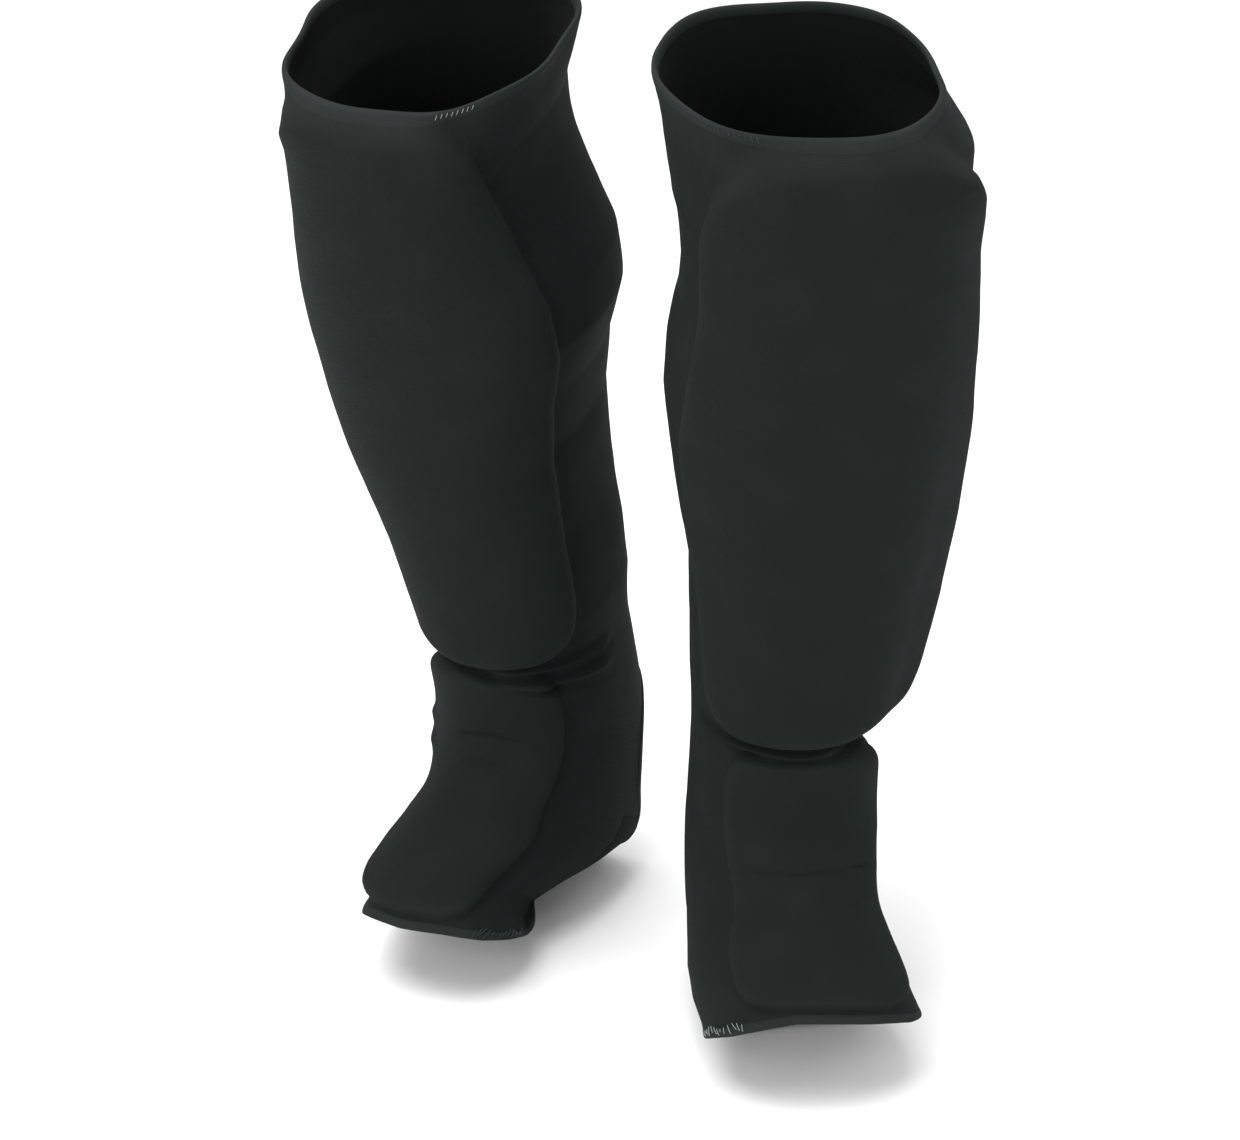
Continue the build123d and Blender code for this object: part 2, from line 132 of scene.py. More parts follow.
# ---- Pad outlines, as (round the leg from the pads' middle, distance down), for the outer half ----
SHIN_OUTLINE = [
    (0, -6), (22, -5), (39, -1), (50, 7), (58, 18), (64, 32), (70, 50), (75, 80), (76.5, 115), (76.5, 150),
    (73.5, 185), (67, 225), (59.5, 262), (57, 275), (52, 287), (45, 294.5), (36, 298.5), (20, 300.5), (0, 301),
]
INSTEP_OUTLINE = [
    (0, 304), (24, 304.5), (36, 308), (42, 317), (43.5, 335), (43.5, 375),
    (44, 400), (44, 418), (42, 433), (36, 443), (22, 448), (0, 449),
]

# ---- What differs between the two ----
# lean and tilt are degrees. standoff is how far the outer side stands off by the pad's lower end, pinch how much
# the inner side of the foot is drawn in, and notch how deep the nick between the pads is.
# lift: (s, rise) of the inner arch. heel_back: (height, shift backwards) of the heel opening's edge.
# widths: (s, more on the outer side, more on the inner side).
# toe_runs: (angle from the pads' middle, how much further down the toe's edge runs).
# folds: (points as round and down, depth, width), with a depth below 0 for a ridge.
STYLES = {
    "left": dict(
        side=1, lean=7.0, tilt=1.5, seed=4, standoff=11.0, pinch=1.0, notch=11.0,
        lift=[(360, 0), (400, 13), (421, 18), (456, 10)],
        heel_back=[(0, 2), (120, 2)],
        widths=[(-6, -12, 1.5), (6, -8, 1), (15, -2, 1.5), (24, 4, 2), (34, 4, 2), (50, 1, 2), (62, -1, 0),
                (84, -2, -3.5), (100, -2, -3.5), (125, -2, 0), (150, -1, 2), (190, -1, -0.5), (235, -0.5, -3),
                (262, -1, -1), (292, -2.5, 1), (340, -0.5, 2), (385, 3, 2.5), (410, 4, 4), (430, 4, 2),
                (445, 3, -1), (456, 1, -1.5)],
        toe_runs=[(-160, -8), (-130, -6), (-100, -1), (-60, -2), (-20, -7), (20, -5), (50, -5), (70, -8),
                  (90, -14), (115, -14), (140, -12), (170, -9)],
        folds=[
            ([(-78, 298), (-40, 300), (-10, 300.8), (15, 300), (40, 297)], 4.0, 1.6),
            ([(-56, 306), (-20, 306.5), (0, 307), (34, 304.5)], 3.6, 1.5),
            ([(-70, 302.5), (-30, 303.5), (0, 304), (32, 301)], -3.6, 1.5),
            ([(-84, 311), (-66, 310), (-50, 311)], 1.8, 2.2),
            ([(-40, 369), (-15, 370.5), (8, 370.5), (26, 369)], 1.5, 1.3),
            ([(-62, -6), (-66, 8), (-72, 20)], 1.5, 2.4),
            ([(-70, -6), (-75, 8), (-80, 24)], 1.6, 2.6),
            ([(-79, -4), (-84, 12), (-88, 30)], 1.4, 2.6),
            ([(-74, 36), (-80, 44), (-88, 50)], 1.3, 3.0),
            ([(30, 299), (36, 303), (40, 309)], -2.0, 3.0),
        ],
    ),
    "right": dict(
        side=-1, lean=13.0, tilt=-2.5, seed=9, standoff=1.0, pinch=11.0, notch=11.0,
        lift=[(368, 0), (392, 4), (404, 14), (416, 30), (430, 42), (445, 38), (456, 18)],
        heel_back=[(0, 24), (20, 17), (50, 9), (90, 7), (128, 4)],
        widths=[(-6, 3, -7), (8, 3, -10), (30, -2, -14), (50, -0.5, -12), (80, 3, -6), (105, 4.5, 2), (130, 6, 1),
                (160, 6, -9), (190, 4, -13), (215, 1, -10), (240, -3, -6), (262, -4, -1), (285, -5, 2), (310, 0, 0),
                (345, 3.5, 0), (370, 6, 0), (392, 6, 0), (415, 5, -7), (435, 2.5, -12), (447, -1, -9), (456, -7, -3)],
        toe_runs=[(-100, 2), (-60, 8), (-30, 9), (0, 11), (35, 9), (55, 2), (72, -8), (90, -15), (115, -17),
                  (140, -11), (170, -3)],
        folds=[
            ([(40, 304), (10, 301.5), (-15, 301), (-38, 301), (-76, 303)], 4.0, 1.7),
            ([(8, 303.5), (-15, 305.5), (-38, 307.5), (-82, 312)], 3.6, 1.6),
            ([(-2, 305), (-25, 311), (-45, 317), (-80, 326)], 3.0, 1.9),
            ([(-4, 302.8), (-30, 304), (-80, 307.5)], -3.2, 1.6),
            ([(-8, 307.5), (-32, 311.5), (-80, 319)], -2.8, 2.0),
            ([(8, 349), (-8, 346), (-26, 349)], 1.8, 1.9),
            ([(6, 366), (-8, 366), (-24, 370)], 1.5, 1.7),
            ([(40, 350), (43, 357), (40, 364)], -2.4, 5.0),
            ([(-43, -6), (-49, 4), (-54, 14)], 1.3, 2.0),
            ([(-51, -6), (-56, 5), (-60, 16)], 1.5, 2.0),
            ([(-60, -6), (-63, 6), (-66, 20)], 1.6, 2.2),
            ([(-60, 40), (-68, 42), (-76, 40)], 1.5, 2.6),
            ([(-62, 32), (-69, 33), (-76, 31)], -1.2, 2.4),
        ],
    ),
}


def smooth(t):
    t = np.clip(t, 0.0, 1.0)
    return t * t * (3 - 2 * t)


def unit(v):
    return v / np.maximum(np.linalg.norm(v, axis=-1, keepdims=True), 1e-9)


def curve_through(points, steps=8):
    """Points of a smooth curve through the given ones."""
    p = np.array(points, float)
    p = np.vstack([2 * p[0] - p[1], p, 2 * p[-1] - p[-2]])
    t = np.linspace(0, 1, steps, endpoint=False)[:, None]
    runs = []
    for k in range(1, len(p) - 2):
        a, b, c, d = p[k - 1:k + 3]
        runs.append(b + 0.5 * t * (c - a + t * (2 * a - 5 * b + 4 * c - d + t * (3 * (b - c) + d - a))))
    return np.vstack(runs + [p[-2:-1]])


def distance_to_line(q, s, line):
    """How far each point is from an open line, all in millimetres."""
    best = np.full(q.shape, 1e9)
    for (q0, s0), (q1, s1) in zip(line[:-1], line[1:]):
        dq, ds = q1 - q0, s1 - s0
        t = np.clip(((q - q0) * dq + (s - s0) * ds) / (dq * dq + ds * ds + 1e-9), 0, 1)
        best = np.minimum(best, np.hypot(q - q0 - t * dq, s - s0 - t * ds))
    return best


def depth_in_outline(q, s, half):
    """How far inside a closed outline each point is, below 0 outside. Both halves of the outline are the same."""
    line = curve_through(half, 6)
    distance = distance_to_line(np.abs(q), s, line)
    width = np.interp(s, line[:, 1], line[:, 0], left=-1, right=-1)
    return np.where(np.abs(q) < width, distance, -distance)


def rows_at(s):
    """The sections' values at distances down the front line, on a smooth curve through the stations."""
    k = np.clip(np.searchsorted(LENGTHS, s, side="right") - 1, 0, len(STATIONS) - 2)
    before, after = np.maximum(k - 1, 0), np.minimum(k + 2, len(STATIONS) - 1)
    span = (LENGTHS[k + 1] - LENGTHS[k])[..., None]
    t = (s[..., None] - LENGTHS[k][..., None]) / span
    v0, v1 = STATIONS[k], STATIONS[k + 1]
    m0 = (v1 - STATIONS[before]) / (LENGTHS[k + 1] - LENGTHS[before])[..., None] * span
    m1 = (STATIONS[after] - v0) / (LENGTHS[after] - LENGTHS[k])[..., None] * span
    return v0 + t * m0 + t**2 * (3 * (v1 - v0) - 2 * m0 - m1) + t**3 * (2 * (v0 - v1) + m0 + m1)


def ripple(s, angle, length, seed, count=14):
    """An even, repeatable unevenness from -1 to 1, with bumps about length apart."""
    rng = np.random.RandomState(seed)
    a = np.radians(angle)
    p = np.stack([58 * np.cos(a), 58 * np.sin(a), s], -1)
    waves = unit(rng.normal(size=(count, 3))) * (2 * math.pi / length) * rng.uniform(0.75, 1.3, (count, 1))
    starts = rng.uniform(0, 2 * math.pi, count)
    return sum(np.sin(p @ w + c) for w, c in zip(waves, starts)) / math.sqrt(count)


class Guard:
    """One guard's surface, as functions of the distance down its front and the angle round it."""

    def __init__(self, name):
        self.name = name
        self.style = STYLES[name]
        joint = next(j for j in frame["joints"] if j["name"] == f"{name}_ankle_flex")
        self.x, self.y, self.ankle = (1000 * v for v in joint["pos_m"])
        self.yaw = math.atan2(joint["axis"][1], joint["axis"][0])
        self.leg, self.foot = joint["parent"], joint["child"]
        self.folds = [(curve_through(points, 6), depth, width) for points, depth, width in self.style["folds"]]

    def around(self, s, angle):
        """Millimetres round the guard from the pads' middle."""
        row = rows_at(s)
        depth = np.hypot(row[..., 2] - row[..., 0], row[..., 3] - row[..., 1]) / 2
        turned = (angle - PAD_TURN + 180) % 360 - 180
        return np.radians(turned) * ((row[..., 4] + depth) / 2 + PAD_MIDDLE)

    def pads(self, s, angle):
        """How far inside the shin pad's and the instep pad's outlines each point is."""
        q = self.around(s, angle)
        return depth_in_outline(q, s, SHIN_OUTLINE), depth_in_outline(q, s, INSTEP_OUTLINE)

    def cover(self, s, angle):
        """How far the outer cloth's face stands off the inner surface."""
        style = self.style
        shin, instep = self.pads(s, angle)
        height = 0
        for inside, foam, bevel in (
            (shin, SHIN_FOAM, SHIN_BEVEL + SHIN_TOP_BEVEL * smooth((30 - s) / 20)),
            (instep, INSTEP_FOAM, INSTEP_BEVEL),
        ):
            depth = inside / bevel
            crest = np.sqrt(np.maximum(1 - (1 - np.clip(depth, 0, 1))**2, 0))
            ramp = 0.5 * (depth + 1 - np.sqrt((depth - 1)**2 + 0.01))
            crest = crest + (ramp - crest) * smooth((TOP_CREST_TO - s) / 24)
            slope = np.exp(np.minimum(inside, 0) / TENT)
            share = np.where(inside > 0, EDGE_SHARE + (1 - EDGE_SHARE) * crest, EDGE_SHARE * slope)
            height = np.maximum(height, foam * share)
        height = height + 0.2 * ripple(s, angle, 46, style["seed"])
        height = height + 0.06 * ripple(s, angle, 17, style["seed"] + 1)
        q = self.around(s, angle)
        for line, depth, width in self.folds:
            low, high = min(p[0] for p in line), max(p[0] for p in line)
            fade = smooth((q - low + 3) / FOLD_FADE) if high - low > SHORT_FOLD else 1
            height = height - depth * fade * np.exp(-(distance_to_line(q, s, line) / width)**2)
        return SLEEVE + np.maximum(height, LOWEST)

    def place(self, s, angle, out):
        """Points in millimetres in the shared frame, standing off the inner surface by out."""
        s, angle, out = (np.array(v, float) for v in np.broadcast_arrays(s, angle, out))
        style, side = self.style, self.style["side"]
        shin = depth_in_outline(self.around(s, angle), s, SHIN_OUTLINE)
        turned = (angle - PAD_TURN + 180) % 360 - 180
        at, runs = np.array(style["toe_runs"], float).T
        s = s + np.interp(turned, at, runs) * smooth((s - TOE_CHANGES_FROM) / 60)
        row = rows_at(s)
        width = row[..., 4]
        depth = np.hypot(row[..., 2] - row[..., 0], row[..., 3] - row[..., 1]) / 2
        a = np.radians(angle)
        r = (np.abs(np.sin(a))**ROUNDNESS + np.abs(np.cos(a))**ROUNDNESS)**(-1 / ROUNDNESS)
        ux, uy = np.sin(a) * r, -np.cos(a) * r
        nx = np.sign(ux) * np.abs(ux)**(ROUNDNESS - 1) / width
        ny = np.sign(uy) * np.abs(uy)**(ROUNDNESS - 1) / depth
        n = np.hypot(nx, ny)

        out = out + (
            style["standoff"] * np.clip(s / STANDOFF_FULL_AT, 0, 1)
            * smooth((turned - 40) / 35) * smooth((115 - turned) / 30) * smooth((shin + 10) / 10)
        )
        out = out + 1.3 * ripple(s, angle, 48, style["seed"] + 2) * np.exp(-np.clip(s - RIM, 0, None) / 16)
        out = out + 0.7 * ripple(s, angle, 40, style["seed"] + 3) * smooth((s - 425) / 30)

        foot = smooth((s - LENGTHS[12]) / (LENGTHS[15] - LENGTHS[12]))
        under = smooth(uy)
        x = ux * width * (1 - 0.12 * foot * under) + nx / n * out
        x = x + style["pinch"] * smooth((s - TOE_CHANGES_FROM) / 55) * np.clip(-ux, 0, 1)
        at, outer, inner = np.array(style["widths"], float).T
        notch_at = NOTCH_AT + NOTCH_DROP * smooth((turned - 45) / 45)
        outer = np.interp(s, at, outer) - style["notch"] * np.exp(-((s - notch_at) / NOTCH_WIDTH)**2)
        x = x + outer * np.clip(ux, 0, 1)**1.5 - np.interp(s, at, inner) * np.clip(-ux, 0, 1)**1.5
        y = uy * depth + ny / n * out
        back = (row[..., 2:4] - row[..., 0:2]) / (2 * depth[..., None])
        mid = (row[..., 0:2] + row[..., 2:4]) / 2
        lift = np.interp(s, *np.array(style["lift"], float).T)
        p_x = side * (x + row[..., 5])
        p_y = mid[..., 0] + back[..., 0] * y
        p_z = mid[..., 1] + back[..., 1] * y + lift * np.clip(-ux, 0, 1)**2 * smooth(1.2 * uy) - 80
        share = 1 - smooth((s - LEAN_FULL_ABOVE) / (LEAN_NONE_BELOW - LEAN_FULL_ABOVE))
        lean, tilt = np.radians(style["lean"]) * share, np.radians(style["tilt"]) * share
        p_y, p_z = p_y * np.cos(lean) - p_z * np.sin(lean), p_y * np.sin(lean) + p_z * np.cos(lean)
        p_x, p_z = p_x * np.cos(tilt) + p_z * np.sin(tilt), p_z * np.cos(tilt) - p_x * np.sin(tilt)
        c, d = math.cos(self.yaw), math.sin(self.yaw)
        return np.stack([p_x * c - p_y * d + self.x, p_x * d + p_y * c + self.y, p_z + self.ankle], -1)

    def heel(self, s, angle):
        """Above 0 on the cloth, and below 0 in the heel opening."""
        p = self.place(s, angle, 1.0) - np.array([self.x, self.y, 0])
        behind = -p[..., 0] * math.sin(self.yaw) + p[..., 1] * math.cos(self.yaw)
        edge = curve_through(HEEL_EDGE, 8)
        top = edge[-1]
        at = np.interp(p[..., 2], edge[:, 1], edge[:, 0]) + np.maximum(p[..., 2] - top[1], 0) * 1.4
        return at + np.interp(p[..., 2], *np.array(self.style["heel_back"], float).T) - behind


# ---- The shared grid over a guard, from rim to toe, closed round the back ----
def spaced(*stops):
    """Numbers from the first stop to the last, as (start, step) pairs and the end."""
    runs = [np.linspace(a, b, max(1, round((b - a) / step)), endpoint=False)
            for (a, step), b in zip(stops[:-1], [p[0] for p in stops[1:]])]
    return np.concatenate(runs + [[stops[-1][0]]])


GRID_S = spaced((RIM + 1.2, 1.8), (30, 2.4), (288, 0.95), (318, 1.6), (385, 2.0), (TOE - 1.2, 0))
GRID_A = spaced((-180, 1.6), (-BACK_SEAM, 1.6), (-SOLE_SEAM, 1.6), (-FOOT_SEAM, 1.5), (FOOT_SEAM, 1.5),
                (SOLE_SEAM, 1.6), (BACK_SEAM, 1.6), (180, 0))[:-1]


def patch(select, field=None):
    """The part of the grid whose middles pass select, cut along field = 0.

    Gives its distances down the front, its angles, its faces and its cut edges.
    """
    rows, columns = len(GRID_S), len(GRID_A)
    angles = np.append(GRID_A, GRID_A[0] + 360)
    keep = select((GRID_S[:-1, None] + GRID_S[1:, None]) / 2, (angles[None, :-1] + angles[None, 1:]) / 2)
    keep = np.broadcast_to(keep, (rows - 1, columns))
    s_of = list(np.repeat(GRID_S, columns))
    a_of = list(np.tile(GRID_A, rows))
    value = np.ones(rows * columns) if field is None else field.reshape(-1)
    i, j = np.nonzero(keep)
    quads = np.stack([i * columns + j, i * columns + (j + 1) % columns,
                      (i + 1) * columns + (j + 1) % columns, (i + 1) * columns + j], -1)
    inside = (value[quads] >= 0).sum(1)
    faces = [list(map(int, q)) for q in quads[inside == 4]]
    made, cuts = {}, []

    def crossing(a, b):
        key = (min(a, b), max(a, b))
        if key not in made:
            t = value[key[0]] / (value[key[0]] - value[key[1]])
            a0, a1 = a_of[key[0]], a_of[key[1]]
            if abs(a1 - a0) > 180:
                a1 += 360 if a1 < a0 else -360
            made[key] = len(s_of)
            s_of.append(s_of[key[0]] * (1 - t) + s_of[key[1]] * t)
            a_of.append(a0 * (1 - t) + a1 * t)
        return made[key]

    for quad in quads[(inside > 0) & (inside < 4)]:
        face, new = [], []
        for a, b in zip(quad, np.roll(quad, -1)):
            if value[a] >= 0:
                face.append(int(a))
            if (value[a] >= 0) != (value[b] >= 0):
                new.append(crossing(int(a), int(b)))
                face.append(new[-1])
        faces.append(face)
        if len(new) == 2:
            cuts.append(new)
    used = sorted({v for f in faces for v in f})
    order = {v: k for k, v in enumerate(used)}
    return (np.array([s_of[v] for v in used]), np.array([a_of[v] for v in used]),
            [[order[v] for v in f] for f in faces], [[order[v] for v in c] for c in cuts if c[0] in order])


def make(name, verts, faces, uv, wear, material):
    """A smooth-shaded closed mesh in metres, with a cloth map in metres and its paler places marked: painted
    highlight, partly scuffing.
    """
    mesh = bpy.data.meshes.new(name)
    mesh.from_pydata((np.asarray(verts) / 1000).tolist(), [], faces)
    layer = mesh.uv_layers.new(name="cloth")
    loops = np.empty(len(mesh.loops), np.int32)
    mesh.loops.foreach_get("vertex_index", loops)
    layer.data.foreach_set("uv", (np.asarray(uv)[loops] / 1000).astype(np.float32).reshape(-1))
    mark = mesh.attributes.new("wear", "FLOAT", "POINT")
    mark.data.foreach_set("value", np.broadcast_to(wear, len(verts)).astype(np.float32))
    mesh.validate()
    shape = bmesh.new()
    shape.from_mesh(mesh)
    bmesh.ops.recalc_face_normals(shape, faces=shape.faces)
    shape.to_mesh(mesh)
    shape.free()
    mesh.polygons.foreach_set("use_smooth", [True] * len(mesh.polygons))
    mesh.materials.append(material)
    obj = bpy.data.objects.new(name, mesh)
    bpy.context.scene.collection.objects.link(obj)
    return obj


def shell(name, guard, part, outer, inner, wear, material):
    """A closed piece of the guard between two stand-offs, over a patch of the grid."""
    s, angle, faces, _ = part
    count = len(s)
    verts = np.vstack([guard.place(s, angle, outer(s, angle)), guard.place(s, angle, inner(s, angle))])
    sides = {(a, b): None for face in faces for a, b in zip(face, face[1:] + face[:1])}
    walls = [[b, a, a + count, b + count] for a, b in sides if (b, a) not in sides]
    back = [[v + count for v in reversed(face)] for face in faces]
    turned = np.where(angle < PAD_TURN - 180, angle + 360, angle)
    radius = np.interp(s, LENGTHS, (STATIONS[:, 4] + 60) / 2 + PAD_MIDDLE)
    uv = np.stack([np.radians(turned) * radius, s], -1)
    worn_and_lit = wear(s, angle) if callable(wear) else np.full(count, wear)
    return make(name, verts, faces + back + walls, np.vstack([uv, uv]), np.concatenate([worn_and_lit, worn_and_lit * 0]), material)


# ---- Materials ----
def material(name, colour, roughness, sheen, knit=None, bump=0.5, worn_and_lit=0.25, varied=0.05, ribs=False):
    """A cloth: knitted loops or ribs with painted shade in their hollows, uneven colour, paler where marked: painted
    highlight, partly scuffing.
    """
    m = bpy.data.materials.new(name)
    m.use_nodes = True
    nodes, links = m.node_tree.nodes, m.node_tree.links
    shader = nodes["Principled BSDF"]
    shader.inputs["Sheen Weight"].default_value = sheen
    shader.inputs["Sheen Roughness"].default_value = 0.45
    shader.inputs["Sheen Tint"].default_value = (0.75, 0.9, 0.9, 1)
    shader.inputs["Specular IOR Level"].default_value = 0.05

    def add(kind, **values):
        node = nodes.new(kind)
        for key, value in values.items():
            setattr(node, key, value)
        return node

    def maths(operation, a, b=None):
        node = add("ShaderNodeMath", operation=operation)
        for socket, v in zip(node.inputs, (a, b)):
            if isinstance(v, (int, float)):
                socket.default_value = v
            elif v is not None:
                links.new(v, socket)
        return node.outputs[0]

    place = add("ShaderNodeTexCoord")
    large = add("ShaderNodeTexNoise")
    large.inputs["Scale"].default_value = 22
    large.inputs["Detail"].default_value = 4
    links.new(place.outputs["Object"], large.inputs["Vector"])
    lint = add("ShaderNodeTexNoise")
    lint.inputs["Scale"].default_value = 900
    lint.inputs["Detail"].default_value = 3
    links.new(place.outputs["Object"], lint.inputs["Vector"])
    mark = add("ShaderNodeAttribute", attribute_name="wear")

    height = lint.outputs["Fac"]
    if knit:
        split = add("ShaderNodeSeparateXYZ")
        links.new(place.outputs["UV"], split.inputs[0])
        wale = maths("PINGPONG", split.outputs[0], knit / 2)
        across = maths("MULTIPLY", wale, 2 / knit)
        if ribs:
            loops = maths("SINE", maths("MULTIPLY", split.outputs[0], 2 * math.pi / knit))
            loops = maths("MULTIPLY", maths("ADD", loops, 1.0), 0.5)
        else:
            slanted = maths("ADD", split.outputs[1], maths("MULTIPLY", wale, 0.9))
            wave = maths("SINE", maths("MULTIPLY", slanted, 2 * math.pi / (knit * 0.8)))
            loops = maths("MULTIPLY", maths("ADD", wave, 1.0), 0.5)
            loops = maths("MULTIPLY", loops, maths("SINE", maths("MULTIPLY", across, math.pi)))
        height = maths("ADD", maths("MULTIPLY", loops, 0.75), maths("MULTIPLY", lint.outputs["Fac"], 0.4))

    base = np.array(colour)
    ramp = add("ShaderNodeValToRGB")
    ramp.color_ramp.elements[0].position = 0.3
    ramp.color_ramp.elements[0].color = (*(base * (1 - varied)), 1)
    ramp.color_ramp.elements[1].position = 0.7
    ramp.color_ramp.elements[1].color = (*(base * (1 + varied)), 1)
    links.new(large.outputs["Fac"], ramp.inputs["Fac"])
    # The colour follows the relief height: darker in the hollows between loops and lint, paler on the loop tops, a
    # painted shade and highlight of the relief.
    knit_relief_shade = add("ShaderNodeMix", data_type="RGBA", blend_type="MULTIPLY")
    knit_relief_shade.inputs[0].default_value = 0.45
    links.new(ramp.outputs[0], knit_relief_shade.inputs[6])
    shade = add("ShaderNodeMapRange")
    shade.inputs["To Min"].default_value = 0.55
    shade.inputs["To Max"].default_value = 1.35
    links.new(height, shade.inputs["Value"])
    links.new(shade.outputs[0], knit_relief_shade.inputs[7])
    rubbed_and_lit = add("ShaderNodeMix", data_type="RGBA")
    patchy = maths("MULTIPLY", large.outputs["Fac"], worn_and_lit * 2)
    links.new(maths("MULTIPLY", mark.outputs["Fac"], patchy), rubbed_and_lit.inputs[0])
    links.new(knit_relief_shade.outputs[2], rubbed_and_lit.inputs[6])
    # The paler colour for the marked places: a painted highlight on the rim and pad edges, partly scuffing.
    rubbed_and_lit.inputs[7].default_value = (*(base * 2.6 + 0.012), 1)
    links.new(rubbed_and_lit.outputs[2], shader.inputs["Base Color"])
    rough = add("ShaderNodeMapRange")
    rough.inputs["To Min"].default_value = roughness - 0.08
    rough.inputs["To Max"].default_value = min(roughness + 0.08, 1)
    links.new(large.outputs["Fac"], rough.inputs["Value"])
    links.new(rough.outputs[0], shader.inputs["Roughness"])
    relief = add("ShaderNodeBump")
    relief.inputs["Strength"].default_value = bump
    relief.inputs["Distance"].default_value = 0.0003
    links.new(height, relief.inputs["Height"])
    links.new(relief.outputs["Normal"], shader.inputs["Normal"])
    return m


FRONT = material("front jersey", (0.0088, 0.0114, 0.0108), 0.82, 0.01, 0.0011)
# The same jersey as the front, made darker: painted shade for the sides, back and underside that face away from the
# lamps.
SHADED_JERSEY = material("shaded side jersey", (0.0058, 0.0068, 0.0060), 0.85, 0.006, 0.0011)
INSIDE = material("lining jersey", (0.0070, 0.0080, 0.0076), 0.88, 0.006, 0.0010)
HEMS = material("hem knit", (0.0098, 0.0125, 0.0120), 0.80, 0.012, 0.0009, worn_and_lit=0.3)
FOAM = material("foam", (0.045, 0.047, 0.048), 0.95, 0.05, bump=0.9)
ELASTIC = material("elastic webbing", (0.020, 0.021, 0.022), 0.7, 0.1, 0.0012, ribs=True)
THREAD = material("dark thread", (0.022, 0.026, 0.026), 0.6, 0.2, 0.0006, ribs=True)
PALE_THREAD = material("pale thread", (0.16, 0.175, 0.17), 0.65, 0.3, 0.0006, ribs=True)


def highlight_and_wear_on_cover(guard):
    """Marks the pads' top edges and the rim paler: a painted highlight where light catches these edges, partly
    scuffed and stretched cloth.
    """
    def worn_and_lit(s, angle):
        shin, instep = guard.pads(s, angle)
        # Pad edges and rim are marked paler as a painted highlight, partly scuffing; the ripple adds random paler
        # patches.
        edge = np.exp(-((shin - 5) / 3.5)**2) + np.exp(-((instep - 4) / 3)**2)
        rim = np.exp(-np.clip(s - RIM, 0, None) / 10)
        return np.clip(0.18 * edge + 0.6 * rim + 0.08 * ripple(s, angle, 30, 77), 0, 1)
    return worn_and_lit


def ring(name, guard, profile, angles, material_used, wear=0.4):
    """A closed band round the guard. profile gives s and stand-off at the angles, as lists of arrays."""
    points = [guard.place(s, angles, out) for s, out in profile]
    count, rounds = len(angles), len(points)
    verts = np.vstack(points)
    faces = [[k * count + j, k * count + (j + 1) % count, (k + 1) % rounds * count + (j + 1) % count,
              (k + 1) % rounds * count + j] for k in range(rounds) for j in range(count)]
    uv = np.vstack([np.stack([np.radians(angles) * 62, np.broadcast_to(s, count)], -1) for s, _ in profile])
    return make(name, verts, faces, uv, wear, material_used)


def hem(name, guard, edge, depth, outer_more, material_used):
    """A folded hem over the cloth's edge. depth is below 0 where the cloth runs up from the edge."""
    angles = np.arange(-180, 180, 1.5)
    steps = [(1.0, 0), (0.97, 0.7), (0.85, 1), (0.6, 1.05), (0.35, 1), (0.14, 0.75), (0.03, 0.3)]
    outside, inside = [], []
    for t, share in steps:
        s = edge + depth * t
        face = guard.cover(np.full(angles.shape, edge + depth * max(t, 0.12)), angles)
        outside.append((s, face - 0.9 + (outer_more + 0.9) * share))
        inside.append((s, 0.9 - (outer_more + 0.9) * share))
    tip = (edge + depth * -0.02, (outside[-1][1] + inside[-1][1]) / 2)
    return ring(name, guard, outside + [tip] + inside[::-1], angles, material_used, 0.6)


def swept(name, guard, path, profile, material_used, closed=False, wear=0.3):
    """A strip along a path of (s, angle) on the guard. profile is (to the left of the path, off the surface)."""
    s, angle = np.array(path, float).T
    middle = guard.place(s, angle, 0.0)
    normal = unit(guard.place(s, angle, 2.0) - middle)
    along = np.roll(middle, -1, 0) - np.roll(middle, 1, 0)
    if not closed:
        along[0], along[-1] = middle[1] - middle[0], middle[-1] - middle[-2]
    left = unit(np.cross(normal, unit(along)))
    count, rounds = len(s), len(profile)
    verts = np.vstack([middle[k] + np.array([left[k] * b + normal[k] * n for b, n in profile])
                       for k in range(count)])
    turns = range(count if closed else count - 1)
    faces = [[k * rounds + j, k * rounds + (j + 1) % rounds, (k + 1) % count * rounds + (j + 1) % rounds,
              (k + 1) % count * rounds + j] for k in turns for j in range(rounds)]
    if not closed:
        faces += [list(range(rounds)), list(range((count - 1) * rounds, count * rounds))]
    run = np.concatenate([[0], np.cumsum(np.linalg.norm(np.diff(middle, axis=0), axis=1))])
    uv = np.vstack([[(b, r) for b, _ in profile] for r in run])
    return make(name, verts, faces, uv, wear, material_used)


